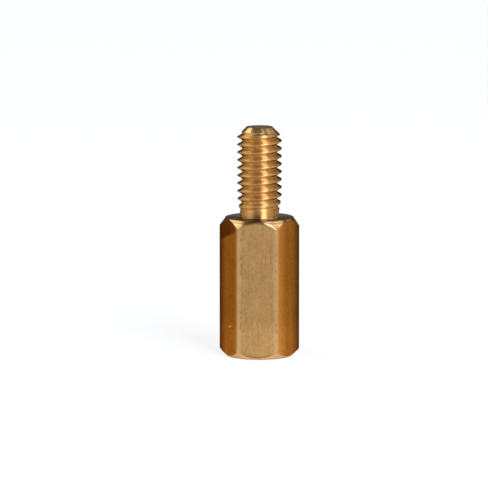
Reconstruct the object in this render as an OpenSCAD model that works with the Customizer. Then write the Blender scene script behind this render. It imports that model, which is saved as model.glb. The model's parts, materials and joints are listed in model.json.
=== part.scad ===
// Male-female hex standoff, turned in one piece from drawn hexagonal brass bar.
// Z runs along its axis and the origin is the middle of the base, which is the tapped end.
// Two corners of the hexagon point along X, and two of its flats face along Y.

/* [Hex body] */
// Width across the flats
across_flats = 4.5; // [4.2:0.1:8]
// Height from the base to the shoulder
body_h = 9; // [8:0.5:40]
// Radius along the six corners of the drawn bar
corner_r = 0.15; // [0.05:0.05:0.5]

/* [End chamfers] */
// How far the shoulder's flat ring lies inside the flats
shoulder_inset = 0.05; // [0.02:0.01:0.3]
// Slope of the shoulder's chamfer against its flat ring, in degrees
shoulder_slope = 55; // [20:1:70]
// How far the base's flat ring lies inside the flats
base_inset = 0.12; // [0.02:0.01:0.3]
// Slope of the base's chamfer against its flat ring, in degrees
base_slope = 45; // [20:1:70]

/* [Thread] */
// Nominal diameter of the thread on the stud and in the hole
thread_d = 3; // [2:0.1:3.4]
// Distance from one turn to the next
pitch = 0.5; // [0.35:0.05:0.6]
// How far the stud's thread is rolled under its nominal diameter
stud_allowance = 0.12; // [0:0.01:0.2]

/* [Stud] */
// Height from the shoulder to the tip, a little short of the 6 mm that such a stud is sold as
stud_h = 5.85; // [3:0.05:20]
// Height of the plain neck above the shoulder
neck_h = 0.35; // [0.25:0.05:1.5]
// Turns over which the thread runs out above the neck
runout_turns = 1.5; // [0.5:0.25:3]
// Radius where the neck meets the shoulder
neck_fillet = 0.2; // [0.1:0.01:0.24]
// Width of the tip's 45 degree chamfer
tip_chamfer = 0.6; // [0.35:0.01:0.9]
// Direction in which the thread's crest leaves the shoulder's plane, in degrees from X
thread_start = 330; // [0:5:355]

/* [Tapped hole] */
// Depth of the full bore, from the base
hole_depth = 6.5; // [2:0.5:7]
// How far the countersunk mouth stands outside the nominal thread, on each side
mouth_margin = 0.1; // [0:0.05:0.3]
// Point angle of the drill that made the hole
drill_point = 118; // [90:1:140]

/* [Hidden] */

top_z = body_h + stud_h;
flat_r = across_flats / 2;
corner_reach = flat_r / cos(30);

// The 60 degree thread form: every height in it is a share of its sharp triangle's height
triangle_h = pitch * sqrt(3) / 2;
crest_r = (thread_d - stud_allowance) / 2;
pitch_r = crest_r - triangle_h * 3 / 8;
root_r = crest_r - triangle_h * 17 / 24;
bore_r = thread_d / 2 - triangle_h * 5 / 8;
crest_w = pitch / 8;

// A rolled thread's blank, and so its neck, has the pitch diameter
neck_r = pitch_r;
neck_top = body_h + neck_h;
thread_full = neck_top + runout_turns * pitch;

// The ridge reaches a little below the roots and above the crests: the core covers its foot, and its crest is
// trimmed round. The crests also start this far below the neck's skin, so that the thread grows out of the neck.
ridge_sink = pitch / 12;
ridge_in = root_r - ridge_sink;
ridge_out = crest_r + pitch / 20;
// Flat steps in one turn of the ridge
ridge_steps = 32;
ridge_turns = ceil(stud_h / pitch) + 1;

// How far a cutting shape runs past what it cuts
over = 0.5;
// Facets of a full circle, where a viewer draws one
fine = 96;

// Outline of the bar: a hexagon with a small round at each corner
module bar_outline() {
    centre_r = (flat_r - corner_r) / cos(30);
    corner = function(k) centre_r * [cos(60 * k), sin(60 * k)];
    tangent = function(k, side) corner(k) + corner_r * [cos(60 * k + side), sin(60 * k + side)];
    polygon([for (k = [0:5], side = [-30, 30]) tangent(k, side)]);
    for (k = [0:5])
        translate(corner(k))
            circle(r = corner_r, $fn = fine);
}

// Half section of what the lathe leaves, from the base up to a core that runs on past the tip
module turned_section() {
    base_r = flat_r - base_inset;
    shoulder_r = flat_r - shoulder_inset;
    reach = corner_reach + over;
    difference() {
        polygon([
            [0, 0],
            [base_r, 0],
            [reach, (reach - base_r) * tan(base_slope)],
            [reach, body_h - (reach - shoulder_r) * tan(shoulder_slope)],
            [shoulder_r, body_h],
            [neck_r + neck_fillet, body_h],
            [neck_r + neck_fillet, body_h + neck_fillet],
            [neck_r, body_h + neck_fillet],
            [neck_r, neck_top],
            [root_r, thread_full],
            [root_r, top_z + over],
            [0, top_z + over],
        ]);
        translate([neck_r + neck_fillet, body_h + neck_fillet])
            circle(r = neck_fillet, $fn = fine);
    }
}

module turned_bar() {
    intersection() {
        linear_extrude(height = top_z + 2 * over)
            bar_outline();
        rotate_extrude($fn = fine)
            turned_section();
    }
}

// One station of the ridge: its four corners, turned and raised by t turns
function ridge_station(t) =
    let (
        half_in = crest_w / 2 + (crest_r - ridge_in) * tan(30),
        half_out = crest_w / 2 - (ridge_out - crest_r) * tan(30),
        section = [[ridge_in, -half_in], [ridge_out, -half_out], [ridge_out, half_out], [ridge_in, half_in]],
        angle = thread_start + 360 * t
    )
    [for (p = section) [p.x * cos(angle), p.x * sin(angle), body_h + pitch * t + p.y]];

// The thread's ridge: a trapezoid swept up a right-hand helix, from inside the shoulder to past the tip
module ridge() {
    last = ridge_steps * ridge_turns;
    points = [for (i = [0:last]) each ridge_station(i / ridge_steps)];
    walls = [
        for (i = [0:last - 1], k = [0:3])
            let (a = 4 * i + k, b = 4 * i + (k + 1) % 4)
            each [[a, b, b + 4], [a, b + 4, a + 4]]
    ];
    caps = [[3, 2, 1, 0], [for (k = [0:3]) 4 * last + k]];
    polyhedron(points, concat(walls, caps));
}

// The ridge with round crests, which sink into the neck as the thread runs out
module thread() {
    sunk = neck_r - ridge_sink;
    intersection() {
        ridge();
        rotate_extrude($fn = fine)
            polygon([
                [0, body_h - over],
                [sunk, body_h - over],
                [sunk, neck_top],
                [crest_r, thread_full],
                [crest_r, top_z + over],
                [0, top_z + over],
            ]);
    }
}

// What the facing tool takes off the tip: all above the stud's height, and the 45 degree chamfer
module tip_cut() {
    tip_r = crest_r - tip_chamfer;
    reach = tip_chamfer + over;
    rotate_extrude($fn = fine)
        polygon([
            [0, top_z],
            [tip_r, top_z],
            [tip_r + reach, top_z - reach],
            [tip_r + reach, top_z + 2 * over],
            [0, top_z + 2 * over],
        ]);
}

// The drilled hole at tapping size, with a countersunk mouth and the drill's cone at its end
module tapped_hole() {
    mouth_r = thread_d / 2 + mouth_margin;
    rotate_extrude($fn = fine)
        polygon([
            [0, -over],
            [mouth_r + over, -over],
            [bore_r, mouth_r - bore_r],
            [bore_r, hole_depth],
            [0, hole_depth + bore_r / tan(drill_point / 2)],
        ]);
}

module standoff() {
    color("#c8a05a")
        difference() {
            union() {
                turned_bar();
                thread();
            }
            tip_cut();
            tapped_hole();
        }
}

standoff();
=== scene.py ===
import json
import math

import bmesh
import bpy
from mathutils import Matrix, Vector


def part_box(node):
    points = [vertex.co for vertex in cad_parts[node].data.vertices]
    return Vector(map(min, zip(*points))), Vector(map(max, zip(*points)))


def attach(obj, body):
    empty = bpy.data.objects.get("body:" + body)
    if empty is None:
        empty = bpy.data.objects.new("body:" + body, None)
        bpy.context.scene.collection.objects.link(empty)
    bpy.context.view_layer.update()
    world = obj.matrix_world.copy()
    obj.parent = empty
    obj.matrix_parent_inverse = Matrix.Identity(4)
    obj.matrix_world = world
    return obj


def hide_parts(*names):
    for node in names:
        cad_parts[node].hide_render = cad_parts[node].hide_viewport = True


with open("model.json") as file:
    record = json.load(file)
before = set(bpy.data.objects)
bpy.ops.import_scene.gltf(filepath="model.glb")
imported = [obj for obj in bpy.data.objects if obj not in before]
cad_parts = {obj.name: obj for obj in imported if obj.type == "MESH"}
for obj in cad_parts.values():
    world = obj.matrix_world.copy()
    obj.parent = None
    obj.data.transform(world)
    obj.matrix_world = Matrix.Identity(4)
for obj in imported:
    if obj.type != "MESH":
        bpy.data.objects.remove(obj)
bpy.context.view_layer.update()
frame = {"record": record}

# ---------------------------------------------------------------- Hexagonal body
# The body is brass bar, drawn to a hexagon with a small round along each corner and parted off.
# A lathe tool has chamfered both ends, which leaves an arch at the top and bottom of each flat.
MM = 0.001
mounts = {mount["name"]: mount for mount in frame["record"]["mounts"]}
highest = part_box("standoff")[1]
top_z = highest.z
body_h = mounts["shoulder"]["pos_m"][2]
flat_r = highest.y
corner_round = 0.15 * MM
shoulder_r = flat_r - 0.05 * MM
shoulder_slope = math.radians(55)
base_r = flat_r - 0.12 * MM
base_slope = math.radians(45)
corner_angle = math.pi / 3
steps_on_corner = 8
steps_on_flat = 22
rows_on_flat = 12

# The edge between a flat and a chamfer is softened, with rows of points at these shares of its
# width, and the edge between a chamfer and a flat ring is broken
edge_softness = 0.03 * MM
edge_rows = (-1, -0.6, -0.25, 0, 0.25, 0.6, 1)
edge_break = 0.02 * MM

# The first two finishes, by their place among the piece's materials
DRAWN, TURNED = 0, 1


def soft_min(a, b, softness):
    """The smaller of two sizes, with the corner where they meet rounded off."""
    near = max(softness - abs(a - b), 0) / softness
    return min(a, b) - near ** 3 * softness / 6


def bar_reach(angle):
    """How far the drawn bar reaches from its axis in one direction. Corners point along X."""
    half = corner_angle / 2
    from_corner = (angle + half) % corner_angle - half
    centre = (flat_r - corner_round) / math.cos(half)
    tangent = math.atan2(corner_round / 2, centre + corner_round * math.cos(half))
    if abs(from_corner) < tangent:
        across = centre * math.sin(from_corner)
        return centre * math.cos(from_corner) + math.sqrt(corner_round ** 2 - across ** 2)
    return flat_r / math.cos(half - abs(from_corner))


def bar_angles():
    """Directions in which the bar's outline has a point: close together round each corner."""
    half_corner = math.atan2(corner_round / 2, flat_r / math.cos(corner_angle / 2))
    flat = corner_angle - 2 * half_corner
    angles = []
    for corner in range(6):
        middle = corner * corner_angle
        for k in range(steps_on_corner):
            angles.append(middle + half_corner * (2 * k / steps_on_corner - 1))
        for k in range(steps_on_flat):
            angles.append(middle + half_corner + flat * k / steps_on_flat)
    return angles


def broken_edge(ring, slope):
    """(radius, height) of the points that lead from a flat ring to its chamfer."""
    out, up = edge_break * math.cos(slope), edge_break * math.sin(slope)
    return [(ring - edge_break, 0), (ring - edge_break / 3, up / 10),
            (ring + out / 3, up / 2.6), (ring + out, up)]


def body_column(angle):
    """(radius, height) of each point of the body's skin in one direction, from the base ring up."""
    reach = bar_reach(angle)
    low = (reach - base_r) * math.tan(base_slope)
    high = body_h - (reach - shoulder_r) * math.tan(shoulder_slope)
    lows = [low + edge_softness * math.tan(base_slope) * row for row in edge_rows]
    highs = [high + edge_softness * math.tan(shoulder_slope) * row for row in edge_rows]
    flat_h = highs[0] - lows[-1]
    middles = [lows[-1] + flat_h * k / rows_on_flat for k in range(1, rows_on_flat)]

    def skin(z):
        cone = min(base_r + z / math.tan(base_slope),
                   shoulder_r + (body_h - z) / math.tan(shoulder_slope))
        return soft_min(reach, cone, edge_softness)

    bottom = broken_edge(base_r, base_slope)
    top = [(r, body_h - z) for r, z in reversed(broken_edge(shoulder_r, shoulder_slope))]
    return bottom + [(skin(z), z) for z in lows + middles + highs] + top


body_rows = len(body_column(0)) - 1
chamfer_rows = len(broken_edge(base_r, base_slope)) + len(edge_rows) // 2


def body_finish(row):
    """Both chamfers are turned, up to the middle of their soft edge, and the flats are as drawn."""
    return DRAWN if chamfer_rows <= row < body_rows - chamfer_rows else TURNED


def lathe_skin(bm, angles, column, finish):
    """Joins the columns of points in all directions with faces, each row with its finish."""
    columns = []
    for angle in angles:
        points = [(r * math.cos(angle), r * math.sin(angle), z) for r, z in column(angle)]
        columns.append([bm.verts.new(p) for p in points])
    for a, b in zip(columns, columns[1:] + columns[:1]):
        for k in range(len(a) - 1):
            bm.faces.new((a[k], b[k], b[k + 1], a[k + 1])).material_index = finish(k)


def close_flat(bm, height):
    """Closes the flat face at this height, across one open ring or between two."""
    def lies_flat(edge):
        return all(abs(v.co.z - height) < 0.001 * MM for v in edge.verts)

    rim = [edge for edge in bm.edges if edge.is_boundary and lies_flat(edge)]
    made = bmesh.ops.triangle_fill(bm, edges=rim, use_beauty=True, normal=(0, 0, 1))["geom"]
    for face in made:
        if isinstance(face, bmesh.types.BMFace):
            face.material_index = TURNED


solid = bmesh.new()
lathe_skin(solid, bar_angles(), body_column, body_finish)


def set_inputs(tree, node, inputs):
    """Links a node's inputs to other nodes, or sets them to plain values."""
    for name, value in inputs.items():
        if isinstance(value, bpy.types.NodeSocket):
            tree.links.new(value, node.inputs[name])
        else:
            node.inputs[name].default_value = value


def make(tree, kind, inputs=None, **settings):
    """Adds a node to a tree, with its settings and inputs."""
    node = tree.nodes.new(kind)
    for name, value in settings.items():
        setattr(node, name, value)
    set_inputs(tree, node, inputs or {})
    return node


def calculate(tree, operation, *values):
    return make(tree, "ShaderNodeMath", dict(enumerate(values)), operation=operation).outputs[0]


def product(tree, first, *others):
    for other in others:
        first = calculate(tree, "MULTIPLY", first, other)
    return first


def on_vector(tree, operation, inputs):
    """The outputs of one step of arithmetic on a place or a colour."""
    return make(tree, "ShaderNodeVectorMath", inputs, operation=operation).outputs


def split(tree, place):
    """A place's distances along X, Y and Z."""
    return make(tree, "ShaderNodeSeparateXYZ", {0: place}).outputs


def from_axis(tree, place):
    """How far a place is from the Z axis."""
    level = on_vector(tree, "MULTIPLY", {0: place, 1: (1, 1, 0)})[0]
    return on_vector(tree, "LENGTH", {0: level})["Value"]


def share_of(tree, value, low, high, to_low=0.0, to_high=1.0):
    """Where a value lies between two others, as a share that stays between its ends."""
    ends = {0: value, 1: low, 2: high, 3: to_low, 4: to_high}
    return make(tree, "ShaderNodeMapRange", ends, interpolation_type="SMOOTHSTEP").outputs[0]


def share_below(tree, value, low, high):
    """1 where a value is under the lower of two others, and 0 where it is over the higher."""
    return share_of(tree, value, low, high, 1.0, 0.0)


def stretched_noise(tree, place, stretch, detail=2.0):
    """Noise with this many waves a millimetre along each axis."""
    scaled = on_vector(tree, "MULTIPLY", {0: place, 1: stretch})[0]
    noise = {"Vector": scaled, "Scale": 1.0, "Detail": detail}
    return make(tree, "ShaderNodeTexNoise", noise).outputs[0]


def spread_out(tree, noise):
    """Noise, which keeps near its middle, spread from 0 to 1."""
    return share_of(tree, noise, 0.3, 0.7)


def blend_colours(tree, share, first, second):
    """From one colour to another, each given by a node or as red, green and blue."""
    first, second = [colour if isinstance(colour, bpy.types.NodeSocket) else (*colour, 1)
                     for colour in (first, second)]
    mixed = make(tree, "ShaderNodeMix", {0: share, 6: first, 7: second}, data_type="RGBA")
    return mixed.outputs[2]


def shaded(tree, colour, share):
    return on_vector(tree, "SCALE", {0: colour, "Scale": share})[0]


def raised(tree, height, depth_mm):
    """The surface's direction where this height, from 0 to 1, raises it by up to a depth."""
    bump = {"Height": height, "Distance": depth_mm * MM, "Strength": 1.0}
    return make(tree, "ShaderNodeBump", bump).outputs[0]


def new_brass(name, roughness, edge_tint, turned=0.0, film=0.5):
    """A brass material to be coloured: itself, its tree, its shader, and the place in millimetres.

    Oxide tints and dims what it mirrors at a low angle. Where it was turned, fine marks round the
    axis spread that up and down, and a thin clear film lies over them."""
    material = bpy.data.materials.new(name)
    material.use_nodes = True
    tree = material.node_tree
    shader = tree.nodes["Principled BSDF"]
    look = {"Metallic": 1.0, "Roughness": roughness, "Specular Tint": (*edge_tint, 1)}
    if turned:
        look["Anisotropic"] = turned
        look["Anisotropic Rotation"] = 0.25
        look["Coat Weight"] = film
        look["Coat Roughness"] = 0.25
        around = make(tree, "ShaderNodeTangent", direction_type="RADIAL", axis="Z")
        look["Tangent"] = around.outputs[0]
    set_inputs(tree, shader, look)
    place = make(tree, "ShaderNodeTexCoord").outputs["Object"]
    return material, tree, shader, on_vector(tree, "SCALE", {0: place, "Scale": 1 / MM})[0]


# Inside a brass, places and sizes are in millimetres
shoulder_mm = body_h / MM


def front_shade_zone(tree, place, left, right):
    """1 on the front near the shoulder, between two places along X: where shade is painted."""
    x, y, z = split(tree, place)
    from_shoulder = calculate(tree, "ABSOLUTE", calculate(tree, "SUBTRACT", z, shoulder_mm))
    return product(tree,
                   share_of(tree, x, left - 0.3, left + 0.3),
                   share_below(tree, x, right - 0.12, right + 0.12),
                   share_below(tree, y, -0.5, -0.3),
                   share_below(tree, from_shoulder, 0.6, 0.8))


sandy_tones = (0.365, 0.204, 0.071), (0.476, 0.272, 0.098)
amber_tones = (0.38, 0.145, 0.024), (0.51, 0.21, 0.047)
# Tone of the painted corner highlights
corner_highlight_tone = (0.58, 0.38, 0.16)
# Tone of the painted shade patch
patch_shade_tone = (0.09, 0.035, 0.010)
nick_tone = (1.0, 0.72, 0.34)

drawn_brass, tree, shader, in_mm = new_brass("drawn_brass", 0.46, (0.25, 0.15, 0.06))
x, y, z = split(tree, in_mm)
off_x, off_y = calculate(tree, "ABSOLUTE", x), calculate(tree, "ABSOLUTE", y)
radius = from_axis(tree, in_mm)
grain = stretched_noise(tree, in_mm, (10, 10, 6), 3.0)
draw_lines = stretched_noise(tree, in_mm, (11, 11, 0.25))
clouds = stretched_noise(tree, in_mm, (0.9, 0.9, 0.5))
mottle = calculate(tree, "MULTIPLY_ADD", grain, 0.7, product(tree, draw_lines, 0.3))
spread = spread_out(tree, mottle)

# Painted light: two opposite flats take a paler, lit sandy tone, and the other four a darker,
# shaded amber
side_flats_from = 1.38
flat_mm = flat_r / MM
sandy = blend_colours(tree, spread, *sandy_tones)
amber = blend_colours(tree, spread, *amber_tones)
# Painted shade: the left side flats are darker than the right, and the right ones darken towards
# their outer edge
amber = shaded(tree, amber, share_of(tree, x, -side_flats_from, side_flats_from, 0.8, 1.32))
amber = shaded(tree, amber, share_of(tree, x, side_flats_from, 1.9, 1.0, 0.60))
lit_flats_share = share_of(tree, off_y, flat_mm - 0.05, flat_mm - 0.005)
skin = blend_colours(tree, lit_flats_share, amber, sandy)

# Painted highlights lie along the four corners beside the sandy flats, painted shade darkens the
# two outer corners, and the tone lifts near the base
painted_corner_highlight = product(tree, share_of(tree, radius, 2.46, 2.52), 0.4,
                 share_of(tree, off_y, 0.5, 1.5))
skin = blend_colours(tree, painted_corner_highlight, skin, corner_highlight_tone)
skin = shaded(tree, skin, share_of(tree, off_x, 2.05, 2.6, 1.0, 0.35))
skin = shaded(tree, skin, share_of(tree, z, 1.5, 2.7, 1.18, 1.0))
skin = shaded(tree, skin, share_of(tree, clouds, 0.35, 0.65, 0.94, 1.03))

# A painted shade slants across the top of one flat, and a bright nick lies lower down
slant = calculate(tree, "MULTIPLY_ADD", x, -0.7, z)
painted_patch_shade = product(tree,
                share_of(tree, slant, 9.15, 9.4),
                share_below(tree, x, -1.5, -1.36),
                share_below(tree, y, -0.3, -0.1),
                share_of(tree, clouds, 0.35, 0.65, 0.6, 0.85))
skin = blend_colours(tree, painted_patch_shade, skin, patch_shade_tone)
nick_at = (-1.815, -1.353, 2.04)
from_nick = on_vector(tree, "DISTANCE", {0: in_mm, 1: nick_at})["Value"]
skin = blend_colours(tree, share_below(tree, from_nick, 0.04, 0.09), skin, nick_tone)

# Painted shade darkens the arches over the base chamfer and, at the front, under the shoulder's
# chamfer
over_base_edge = calculate(tree, "SUBTRACT", z, calculate(tree, "SUBTRACT", radius, base_r / MM))
painted_base_arch_shade = product(tree, share_below(tree, over_base_edge, 0.04, 0.13),
                   share_below(tree, off_x, 0.6, 0.95))
fall = math.tan(shoulder_slope)
shoulder_edge = calculate(tree, "MULTIPLY_ADD", radius, -fall, (body_h + shoulder_r * fall) / MM)
under_shoulder_edge = calculate(tree, "SUBTRACT", shoulder_edge, z)
painted_shoulder_arch_shade = product(tree, share_of(tree, under_shoulder_edge, 0.03, 0.15, 1.6, 0.0),
                    front_shade_zone(tree, in_mm, -0.7, 0.4))

# Small dents lie along the two edges of the sandy flats
dented_edges = (-1.06, 1.22)
from_edges = [calculate(tree, "ABSOLUTE", calculate(tree, "SUBTRACT", x, edge))
              for edge in dented_edges]
dents = product(tree, share_below(tree, calculate(tree, "MINIMUM", *from_edges), 0.03, 0.08),
                share_of(tree, stretched_noise(tree, in_mm, (5, 5, 4), 1.0), 0.55, 0.68, 0.0, 0.8))
# The painted shade and the dents darken the skin together
shade_and_dents = calculate(tree, "MAXIMUM", calculate(tree, "MAXIMUM", painted_base_arch_shade, painted_shoulder_arch_shade), dents)
skin = shaded(tree, skin, calculate(tree, "MULTIPLY_ADD", shade_and_dents, -0.4, 1.0))
set_inputs(tree, shader, {"Base Color": skin, "Normal": raised(tree, mottle, 0.006)})

# The lathe's rings lie round the axis, by distance from it and by height
ring_tones = (0.50, 0.29, 0.11), (0.66, 0.41, 0.17)
base_chamfer_tone = (0.72, 0.44, 0.19)
# Tone of the painted shade on the shoulder
shoulder_shade_tone = (0.20, 0.09, 0.022)

turned_brass, tree, shader, in_mm = new_brass("turned_brass", 0.22, (0.42, 0.27, 0.12), turned=0.6)
radius = from_axis(tree, in_mm)
height = split(tree, in_mm)["Z"]
ring_place = make(tree, "ShaderNodeCombineXYZ", {0: radius, 2: height}).outputs[0]
rings = stretched_noise(tree, ring_place, (30, 1, 30))
bands = stretched_noise(tree, ring_place, (5, 1, 5), 1.0)
colour = blend_colours(tree, spread_out(tree, rings), *ring_tones)
colour = shaded(tree, colour, share_of(tree, bands, 0.38, 0.62, 0.6, 1.35))

# The base's chamfer is painted paler and more even, as a painted reflection of the floor, and the
# stud's tip is painted brighter than the shoulder, as a painted highlight
over_base = share_of(tree, height, 0.5, 0.9, 0.25, 1.0)
colour = blend_colours(tree, over_base, base_chamfer_tone, colour)
colour = shaded(tree, colour, share_of(tree, radius, 1.3, 1.6, 1.25, 1.0))

# Painted shade darkens the shoulder and its chamfer, in the middle of the front and at its right
painted_shoulder_shade = calculate(tree, "MAXIMUM",
                  product(tree, front_shade_zone(tree, in_mm, -1.1, 0.5), 0.85),
                  product(tree, front_shade_zone(tree, in_mm, 1.7, 2.5), 0.6))
colour = blend_colours(tree, painted_shoulder_shade, colour, shoulder_shade_tone)
set_inputs(tree, shader, {"Base Color": colour, "Normal": raised(tree, rings, 0.003)})

brasses = [drawn_brass, turned_brass]

# ---------------------------------------------------------------- Threads
# The stud's thread is rolled and the hole's is tapped, and both follow the same helix rule.
# Geometry Nodes bend a grid into a thread: columns go round the axis and rows climb with the helix.
# In the 60 degree form, depths are shares of its sharp triangle's height.
pitch = 0.5 * MM
crest_w = pitch / 8
triangle_h = pitch * math.sqrt(3) / 2
flank_slope = 1 / math.tan(math.radians(30))
weld_distance = 0.0002 * MM


def thread_rule():
    """The node tree that makes a threaded skin from named sizes."""
    tree = bpy.data.node_groups.new("threaded_skin", "GeometryNodeTree")
    tree.interface.new_socket("Skin", in_out="OUTPUT", socket_type="NodeSocketGeometry")
    sockets = {
        "NodeSocketInt": ("Columns", "Rows per turn", "Turns"),
        "NodeSocketFloat": ("Pitch", "Bottom", "Top", "Start share", "Crest radius", "Crest width",
                            "Root radius", "Plain radius", "Sunk radius", "Run-out from",
                            "Run-out to", "Mouth radius", "Tip radius", "Tip slope", "Softness",
                            "Tip softness"),
        "NodeSocketMaterial": ("Material", "Tip material"),
    }
    for kind, names in sockets.items():
        for name in names:
            tree.interface.new_socket(name, in_out="INPUT", socket_type=kind)
    size = tree.nodes.new("NodeGroupInput").outputs

    def calc(operation, *values):
        return calculate(tree, operation, *values)

    def between(value, *ends):
        return make(tree, "ShaderNodeMapRange", dict(enumerate((value, *ends)))).outputs[0]

    def result(kind, **inputs):
        return make(tree, "GeometryNode" + kind, inputs).outputs[0]

    grid = make(tree, "GeometryNodeMeshGrid", {
        "Vertices X": calc("ADD", size["Columns"], 1),
        "Vertices Y": calc("MULTIPLY_ADD", size["Rows per turn"], size["Turns"], 1),
    }).outputs["Mesh"]

    # The grid is 1 wide and 1 long: its width goes round the axis and its length climbs
    across, along, _ = split(tree, result("InputPosition"))
    share = calc("ADD", across, 0.5)
    climb = calc("MULTIPLY_ADD", calc("ADD", along, 0.5), size["Turns"], share)
    free_z = calc("MULTIPLY_ADD", calc("SUBTRACT", climb, 1), size["Pitch"], size["Bottom"])
    z = calc("MAXIMUM", calc("MINIMUM", free_z, size["Top"]), size["Bottom"])

    # How far this height is from the nearest crest in this direction
    turns_up = calc("DIVIDE", calc("SUBTRACT", z, size["Bottom"]), size["Pitch"])
    phase = calc("SUBTRACT", turns_up, calc("SUBTRACT", share, size["Start share"]))
    from_crest = calc("MULTIPLY", calc("PINGPONG", phase, 0.5), size["Pitch"])
    past_crest = calc("SUBTRACT", from_crest, calc("MULTIPLY", size["Crest width"], 0.5))
    flank = calc("MULTIPLY_ADD", past_crest, -flank_slope, size["Crest radius"])

    # The thread runs out where its crests sink into the plain bar and its roots rise to it
    run_out = (size["Run-out from"], size["Run-out to"])
    crest = between(z, *run_out, size["Sunk radius"], size["Crest radius"])
    core = between(z, *run_out, size["Plain radius"], size["Root radius"])
    ridge = calc("SMOOTH_MIN", flank, crest, size["Softness"])
    thread = calc("SMOOTH_MAX", ridge, core, size["Softness"])
    mouth = calc("SUBTRACT", size["Mouth radius"], calc("SUBTRACT", z, size["Bottom"]))
    opened = calc("SMOOTH_MAX", thread, mouth, size["Tip softness"])
    below_top = calc("SUBTRACT", size["Top"], z)
    tip = calc("MULTIPLY_ADD", below_top, size["Tip slope"], size["Tip radius"])
    radius = calc("SMOOTH_MIN", opened, tip, size["Tip softness"])

    # The tip's cone has its own material, once it lies inside the plain bar
    cut = calc("MULTIPLY", calc("LESS_THAN", tip, opened),
               calc("LESS_THAN", radius, size["Plain radius"]))
    angle = calc("MULTIPLY", share, math.tau)
    point = make(tree, "ShaderNodeCombineXYZ", {
        "X": calc("MULTIPLY", radius, calc("COSINE", angle)),
        "Y": calc("MULTIPLY", radius, calc("SINE", angle)),
        "Z": z,
    }).outputs[0]
    marked = result("StoreNamedAttribute", Geometry=grid, Name="faced", Value=cut)
    bent = result("SetPosition", Geometry=marked, Position=point)
    welded = result("MergeByDistance", Geometry=bent, Distance=weld_distance)
    real = result("RealizeInstances", Geometry=welded)
    threads = result("SetMaterial", Geometry=real, Material=size["Material"])
    on_tip = calc("GREATER_THAN", result("InputNamedAttribute", Name="faced"), 0.5)
    both = result("SetMaterial", Geometry=threads, Selection=on_tip, Material=size["Tip material"])
    make(tree, "NodeGroupOutput", {0: both})
    return tree


threaded_skin = thread_rule()


def threaded(name, sizes):
    """A plain mesh made by the thread rule with these sizes."""
    holder = bpy.data.objects.new(name, bpy.data.meshes.new(name))
    bpy.context.collection.objects.link(holder)
    modifier = holder.modifiers.new("thread", "NODES")
    modifier.node_group = threaded_skin
    for item in threaded_skin.interface.items_tree:
        if item.in_out == "INPUT":
            modifier[item.identifier] = sizes[item.name]
    evaluated = holder.evaluated_get(bpy.context.evaluated_depsgraph_get())
    mesh = bpy.data.meshes.new_from_object(evaluated)
    for face in mesh.polygons:
        face.material_index = brasses.index(mesh.materials[face.material_index])
    bpy.data.objects.remove(holder)
    return mesh


def turns_between(bottom, top):
    return math.ceil((top - bottom) / pitch) + 1


# ---------------------------------------------------------------- Stud
# The stud is turned down from the bar, with a small fillet at the shoulder. Its thread is rolled,
# its neck has the thread's pitch diameter, and a 45 degree chamfer leads its tip into a nut.
crest_r = mounts["stud"]["dims"]["r_mm"] * MM
root_r = crest_r - triangle_h * 17 / 24
neck_r = crest_r - triangle_h * 3 / 8
neck_fillet = 0.06 * MM
fillet_top = body_h + neck_fillet
neck_top = body_h + 0.2 * MM
runout_turns = 2.3
tip_chamfer = 0.6 * MM
# Degrees from X at which the thread's crest leaves the shoulder's plane
thread_start = 42
stud_columns = 128
fillet_steps = 6


def fillet_column(angle):
    """(radius, height) of each point of the fillet, from the shoulder up, the same all round."""
    turn = [math.pi / 2 * k / fillet_steps for k in range(fillet_steps + 1)]
    return [(neck_r + neck_fillet * (1 - math.sin(a)), fillet_top - neck_fillet * math.cos(a))
            for a in turn]


stud_angles = [math.tau * k / stud_columns for k in range(stud_columns)]
lathe_skin(solid, stud_angles, fillet_column, lambda row: TURNED)
close_flat(solid, body_h)

crest_tones = (0.59, 0.33, 0.088), (0.72, 0.42, 0.122)
root_tone = (0.67, 0.355, 0.098)
# Tone of the painted shade at the neck's foot
foot_shade_tone = (0.16, 0.06, 0.012)
satin, mirroring = 0.46, 0.14

rolled_brass, tree, shader, in_mm = new_brass("rolled_brass", satin, (0.14, 0.125, 0.11),
                                              turned=0.95, film=0.25)
grain = stretched_noise(tree, in_mm, (7, 7, 7), 3.0)
crests = blend_colours(tree, spread_out(tree, grain), *crest_tones)
up_the_flank = share_of(tree, from_axis(tree, in_mm), root_r / MM, crest_r / MM)
colour = blend_colours(tree, up_the_flank, root_tone, crests)

# Painted shade darkens the neck's foot in the middle of the front
painted_foot_shade = share_of(tree, split(tree, in_mm)["Z"], shoulder_mm + 0.15, shoulder_mm + 0.45, 0.8, 0.0)
painted_foot_shade = product(tree, painted_foot_shade, front_shade_zone(tree, in_mm, -0.25, 0.15))
colour = blend_colours(tree, painted_foot_shade, colour, foot_shade_tone)

# At a low angle the rolled skin mirrors more sharply
facing = make(tree, "ShaderNodeLayerWeight").outputs["Facing"]
set_inputs(tree, shader, {
    "Base Color": colour,
    "Normal": raised(tree, grain, 0.004),
    "Roughness": share_of(tree, facing, 0.64, 0.84, satin, mirroring),
})
brasses.append(rolled_brass)

solid.from_mesh(threaded("stud", {
    "Columns": stud_columns, "Rows per turn": 36, "Turns": turns_between(fillet_top, top_z),
    "Pitch": pitch, "Bottom": fillet_top, "Top": top_z,
    "Start share": thread_start / 360 + neck_fillet / pitch,
    "Crest radius": crest_r, "Crest width": crest_w, "Root radius": root_r,
    "Plain radius": neck_r, "Sunk radius": neck_r - 0.04 * MM,
    "Run-out from": neck_top, "Run-out to": neck_top + runout_turns * pitch,
    "Mouth radius": 0.0, "Tip radius": crest_r - tip_chamfer, "Tip slope": 1.0,
    "Softness": 0.045 * MM, "Tip softness": 0.03 * MM,
    "Material": rolled_brass, "Tip material": turned_brass,
}))

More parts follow.
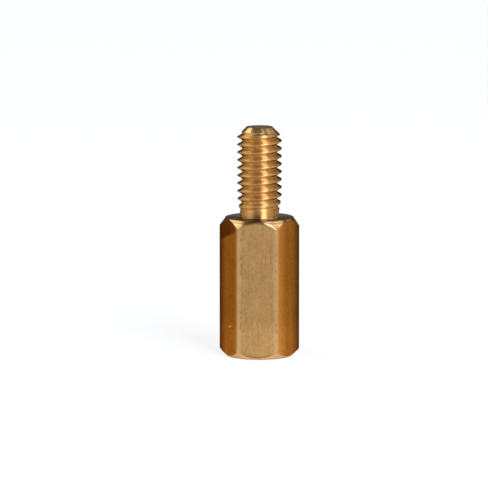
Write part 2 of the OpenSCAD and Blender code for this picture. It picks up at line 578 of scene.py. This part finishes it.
# ---------------------------------------------------------------- Tapped hole
# A drill leaves the hole's cone, a countersink opens its mouth, and a tap cuts the thread inside.
# The thread stops short of the hole's end, where the tap ran out.
bore_r = mounts["tapped_hole"]["dims"]["r_mm"] * MM
nominal_r = 1.5 * MM
mouth_r = nominal_r + 0.1 * MM
hole_depth = 6.5 * MM
tapped_depth = 5.4 * MM
drill_slope = math.tan(math.radians(118 / 2))
hole_end = hole_depth + bore_r / drill_slope

tapped_tones = (0.40, 0.22, 0.07), (0.58, 0.34, 0.12)
tapped_brass, tree, shader, in_mm = new_brass("tapped_brass", 0.4, (0.5, 0.4, 0.3))
grain = stretched_noise(tree, in_mm, (8, 8, 8), 3.0)
colour = blend_colours(tree, spread_out(tree, grain), *tapped_tones)
set_inputs(tree, shader, {"Base Color": colour})
brasses.append(tapped_brass)

solid.from_mesh(threaded("hole", {
    "Columns": 96, "Rows per turn": 12, "Turns": turns_between(0, hole_end),
    "Pitch": pitch, "Bottom": 0.0, "Top": hole_end, "Start share": 0.0,
    "Crest radius": nominal_r + 0.02 * MM, "Crest width": crest_w, "Root radius": bore_r,
    "Plain radius": bore_r, "Sunk radius": bore_r - 0.08 * MM,
    "Run-out from": tapped_depth + 2 * pitch, "Run-out to": tapped_depth,
    "Mouth radius": mouth_r, "Tip radius": 0.0, "Tip slope": drill_slope,
    "Softness": 0.06 * MM, "Tip softness": 0.02 * MM,
    "Material": tapped_brass, "Tip material": tapped_brass,
}))

# Body, stud and hole are one solid: their rims are joined and the two end faces closed
bmesh.ops.remove_doubles(solid, verts=solid.verts, dist=0.0005 * MM)
close_flat(solid, top_z)
close_flat(solid, 0)
bmesh.ops.recalc_face_normals(solid, faces=solid.faces)

piece_mesh = bpy.data.meshes.new("hex_standoff")
solid.to_mesh(piece_mesh)
solid.free()
piece_mesh.shade_smooth()
piece_mesh.set_sharp_from_angle(angle=math.radians(32))
for brass in brasses:
    piece_mesh.materials.append(brass)

piece = bpy.data.objects.new("hex_standoff", piece_mesh)
bpy.context.collection.objects.link(piece)
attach(piece, "root")
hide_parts("standoff")

# ---------------------------------------------------------------- Camera
# A long lens a little above the bench, almost square to a flat, which it sees a little from the
# right. Pixels are of a frame 488 wide and 486 high.
frame_px = (488, 486)
axis_px = 259.4
shoulder_px = 216.8
px_per_mm = 15.5
camera_azimuth = math.radians(3.5)
camera_elevation = math.radians(8.3)
camera_distance = 300 * MM


def towards(azimuth, elevation):
    """The direction with this azimuth from the front flat, to the right, and this elevation."""
    level = math.cos(elevation)
    return Vector((math.sin(azimuth) * level, -math.cos(azimuth) * level, math.sin(elevation)))


camera_data = bpy.data.cameras.new("camera")
camera = bpy.data.objects.new("camera", camera_data)
bpy.context.collection.objects.link(camera)
bpy.context.scene.camera = camera
bpy.context.scene.view_settings.view_transform = "Standard"
px = MM / px_per_mm
rightwards = towards(camera_azimuth + math.pi / 2, 0)
aim = rightwards * (frame_px[0] / 2 - axis_px) * px
aim.z = body_h - (frame_px[1] / 2 - shoulder_px) * px / math.cos(camera_elevation)
camera.location = aim + towards(camera_azimuth, camera_elevation) * camera_distance
camera.rotation_euler = (math.pi / 2 - camera_elevation, 0, camera_azimuth)
camera_data.lens = camera_data.sensor_width * camera_distance / (frame_px[0] * px)
camera_data.clip_start = 10 * MM
camera_data.clip_end = 20

# ---------------------------------------------------------------- Floor and light
# A plain white floor of matt paper, which keeps the standoff's faint shadow, in a dim room that
# turns white towards the floor. Soft lamps stand round the standoff, a metre away.
bpy.ops.mesh.primitive_plane_add(size=8)
floor = bpy.context.object
floor.name = "floor"
floor_paint = bpy.data.materials.new("white_floor")
floor_paint.use_nodes = True
tree = floor_paint.node_tree
paper = tree.nodes["Principled BSDF"]
set_inputs(tree, paper, {"Base Color": (0.95, 0.95, 0.95, 1), "Roughness": 1.0,
                         "Specular IOR Level": 0.0})
white = make(tree, "ShaderNodeEmission", {"Strength": 1.0}).outputs[0]
ray = make(tree, "ShaderNodeLightPath").outputs
seen = calculate(tree, "MAXIMUM", ray["Is Camera Ray"], ray["Is Glossy Ray"])
seen = product(tree, calculate(tree, "MAXIMUM", seen, ray["Is Transmission Ray"]), 0.8)
lit_paper = make(tree, "ShaderNodeMixShader", {0: seen, 1: paper.outputs[0], 2: white}).outputs[0]
set_inputs(tree, tree.nodes["Material Output"], {"Surface": lit_paper})
floor.data.materials.append(floor_paint)

room = bpy.data.worlds.new("room")
bpy.context.scene.world = room
room.use_nodes = True
tree = room.node_tree
rise = split(tree, make(tree, "ShaderNodeTexCoord").outputs["Generated"])["Z"]
white_below, dim_from = math.sin(math.radians(1)), math.sin(math.radians(4))
set_inputs(tree, tree.nodes["Background"], {
    "Color": (1, 1, 1, 1),
    "Strength": share_of(tree, rise, white_below, dim_from, 0.98, 0.12),
})

# Watts that a square metre of lamp needs to look as bright as a white wall in full light
lamp_power = 4
plain_white = (1, 1, 1)
cool_white = (0.87, 1.01, 1.45)
warm_white = (1.0, 0.75, 0.5)
for name, azimuth, elevation, width, height, brightness, colour in (
        ("left_softbox", -102, 40, 0.9, 0.6, 1.2, plain_white),
        ("left_strip", -54, 27, 0.6, 0.9, 1.1, plain_white),
        ("right_softbox", 74, 38, 0.85, 0.66, 1.0, plain_white),
        ("front_strip", 31.5, 33, 0.42, 0.64, 8.9, cool_white),
        ("front_fill", -5, 20, 0.7, 0.5, 0.5, plain_white),
        ("back_softbox", 180, 56, 1.2, 0.7, 0.8, plain_white),
        ("top_strip", 114, 79, 0.4, 0.1, 0.6, plain_white),
        ("right_back_softbox", 129, 25, 0.4, 0.2, 1.3, warm_white)):
    softbox = bpy.data.lights.new(name, "AREA")
    softbox.shape = "RECTANGLE"
    softbox.size, softbox.size_y = width, height
    softbox.energy = brightness * lamp_power * width * height
    softbox.color = colour
    lamp = bpy.data.objects.new(name, softbox)
    lamp.location = towards(math.radians(azimuth), math.radians(elevation))
    lamp.rotation_euler = lamp.location.to_track_quat("Z", "Y").to_euler()
    bpy.context.collection.objects.link(lamp)
